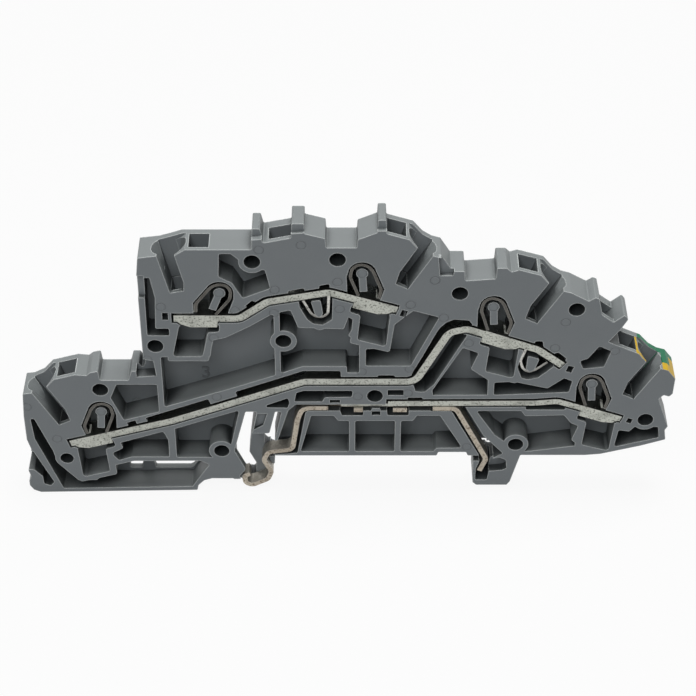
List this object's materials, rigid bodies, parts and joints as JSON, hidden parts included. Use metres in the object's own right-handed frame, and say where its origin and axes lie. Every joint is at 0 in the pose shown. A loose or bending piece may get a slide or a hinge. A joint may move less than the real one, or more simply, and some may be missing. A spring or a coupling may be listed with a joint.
{
  "type": "double level terminal block",
  "caption": "Rail-mounted feed-through terminal block with stepped levels of spring clamps, stamped bus bars, a ground bar and a sprung rail contact in an open-sided housing.",
  "frame": {"origin": "middle of the seat that rests on the mounting rail, half way across the block", "axes": "+X along the block towards the ground clamp, +Y across the block from the open side to the closed side, +Z away from the rail"},
  "size_m": [0.1033, 0.0052, 0.0544],
  "materials": {
    "housing": "fine moulded grey polyamide",
    "bus_bar": "dull tin plate over copper, mottled",
    "contact_strip": "nickel-coloured strip with a warm tint",
    "bright_spring": "bright spring steel",
    "clamp_spring": "dark spring steel with bright cut edges"
  },
  "bodies": {
    "root": {"housing": "housing", "upper_bus_bar": "bus_bar", "middle_bus_bar": "bus_bar", "ground_bus_bar": "bus_bar", "rail_contact": "contact_strip", "upper_jumper_clip": "bright_spring", "middle_jumper_clip": "bright_spring", "lower_left_spring": "clamp_spring", "upper_left_spring": "clamp_spring", "upper_right_spring": "clamp_spring", "middle_right_spring": "clamp_spring", "ground_right_spring": "clamp_spring"}
  },
  "joints": []
}
